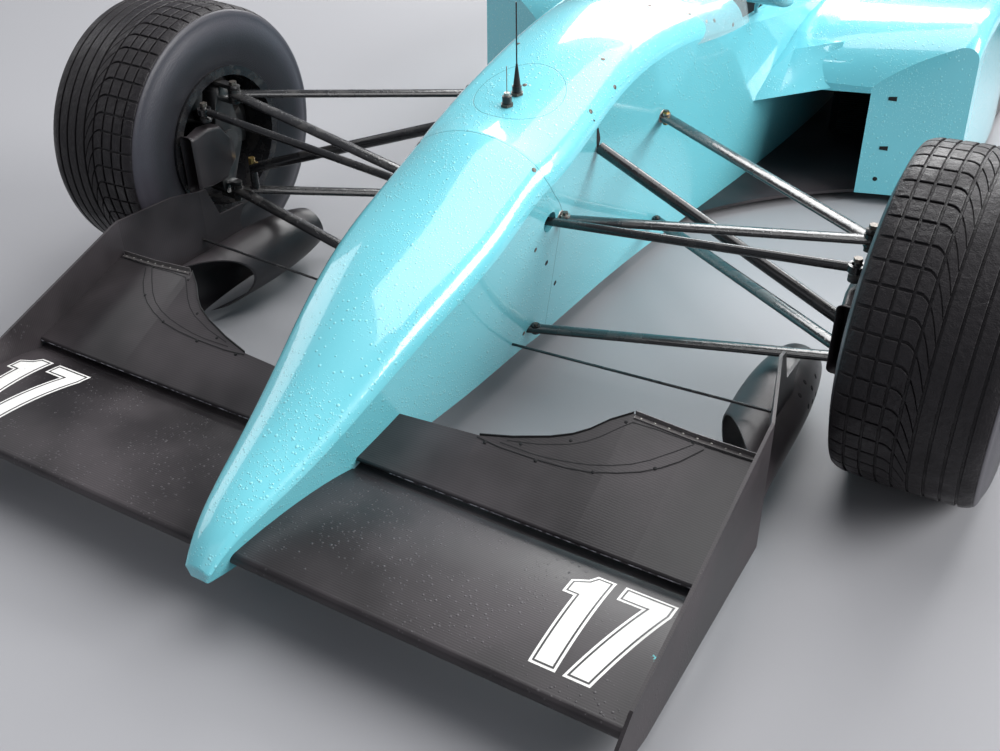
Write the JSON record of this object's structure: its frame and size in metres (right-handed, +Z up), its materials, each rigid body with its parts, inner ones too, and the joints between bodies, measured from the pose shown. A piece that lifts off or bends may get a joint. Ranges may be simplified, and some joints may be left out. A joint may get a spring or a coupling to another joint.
{
  "type": "open wheel racing car",
  "caption": "Open wheel racing car with a slim raised nose, full width front wing, open cockpit, sidepods, rear wing and grooved rain tyres.",
  "frame": {"origin": "on the ground under the middle of the car's length and width", "axes": "-Y to the front, +X to the driver's left, +Z up"},
  "size_m": [2.152, 4.415, 0.9849],
  "materials": {
    "body_paint": "gloss",
    "carbon": "satin",
    "black_tube": "gloss",
    "tyre_rubber": "matt",
    "rim_metal": "satin",
    "cast_magnesium": "matt",
    "brake_carbon": "matt",
    "machined_aluminium": "satin",
    "exhaust_steel": "heat stained",
    "clear_screen": "polished",
    "radiator_core": "finned",
    "seat_shell": "satin",
    "head_pad": "matt",
    "light_lens": "gloss",
    "suede_black": "matt"
  },
  "bodies": {
    "chassis": {"nose_cone": "body_paint", "monocoque": "body_paint", "engine_cover": "body_paint", "sidepod_left": "body_paint", "sidepod_right": "body_paint", "front_mainplane": "carbon", "front_flaps": "carbon", "front_endplates": "carbon", "front_wing_stays": "black_tube", "front_wishbones": "black_tube", "front_pushrods": "black_tube", "windscreen": "clear_screen", "mirrors": "body_paint", "antennas": "suede_black", "seat": "seat_shell", "headrest": "head_pad", "floor": "carbon", "diffuser": "carbon", "engine_block": "machined_aluminium", "gearbox": "cast_magnesium", "exhausts": "exhaust_steel", "radiators": "radiator_core", "rear_wishbones": "black_tube", "rear_links": "black_tube", "rear_uprights": "cast_magnesium", "rear_wing_endplates": "carbon", "rear_wing_planes": "carbon", "rear_beam_wing": "carbon", "rain_light": "light_lens"},
    "wheel_front_left": {"tyre_front_left": "tyre_rubber", "rim_front_left": "rim_metal", "hub_front_left": "brake_carbon"},
    "wheel_front_right": {"tyre_front_right": "tyre_rubber", "rim_front_right": "rim_metal", "hub_front_right": "brake_carbon"},
    "wheel_rear_left": {"tyre_rear_left": "tyre_rubber", "rim_rear_left": "rim_metal", "hub_rear_left": "brake_carbon"},
    "wheel_rear_right": {"tyre_rear_right": "tyre_rubber", "rim_rear_right": "rim_metal", "hub_rear_right": "brake_carbon"},
    "knuckle_left": {"upright_front_left": "cast_magnesium"},
    "knuckle_right": {"upright_front_right": "cast_magnesium"},
    "rack": {"steering_rack": "black_tube"},
    "hand_wheel": {"steering_wheel": "suede_black"}
  },
  "joints": [
    {"name": "steer_left", "type": "hinge", "parent": "chassis", "child": "knuckle_left", "pos_m": [0.778, -1.1955, 0.205], "axis": [-0.0656, 0.1025, 0.9926], "range_deg": [-15, 15]},
    {"name": "steer_right", "type": "hinge", "parent": "chassis", "child": "knuckle_right", "pos_m": [-0.778, -1.1955, 0.205], "axis": [0.0656, 0.1025, 0.9926], "range_deg": [-15, 15]},
    {"name": "rack_slide", "type": "slide", "parent": "chassis", "child": "rack", "axis": [1, 0, 0], "range_m": [-0.0265, 0.0265]},
    {"name": "steering_wheel_turn", "type": "hinge", "parent": "chassis", "child": "hand_wheel", "pos_m": [0, -1.2325, 0.408], "axis": [0, 0.9916, 0.1291], "range_deg": [-150, 150]},
    {"name": "spin_front_left", "type": "hinge", "parent": "knuckle_left", "child": "wheel_front_left", "pos_m": [0.934, -1.1725, 0.321], "axis": [1, 0, 0], "continuous": true},
    {"name": "spin_front_right", "type": "hinge", "parent": "knuckle_right", "child": "wheel_front_right", "pos_m": [-0.934, -1.1725, 0.321], "axis": [1, 0, 0], "continuous": true},
    {"name": "spin_rear_left", "type": "hinge", "parent": "chassis", "child": "wheel_rear_left", "pos_m": [0.845, 1.7075, 0.333], "axis": [1, 0, 0], "continuous": true},
    {"name": "spin_rear_right", "type": "hinge", "parent": "chassis", "child": "wheel_rear_right", "pos_m": [-0.845, 1.7075, 0.333], "axis": [1, 0, 0], "continuous": true}
  ],
  "couplings": [
    {"joint": "steer_right", "follows": "steer_left", "ratio": 1},
    {"joint": "rack_slide", "follows": "steer_left", "m_per_rad": 0.1005},
    {"joint": "steering_wheel_turn", "follows": "steer_left", "ratio": 10}
  ]
}
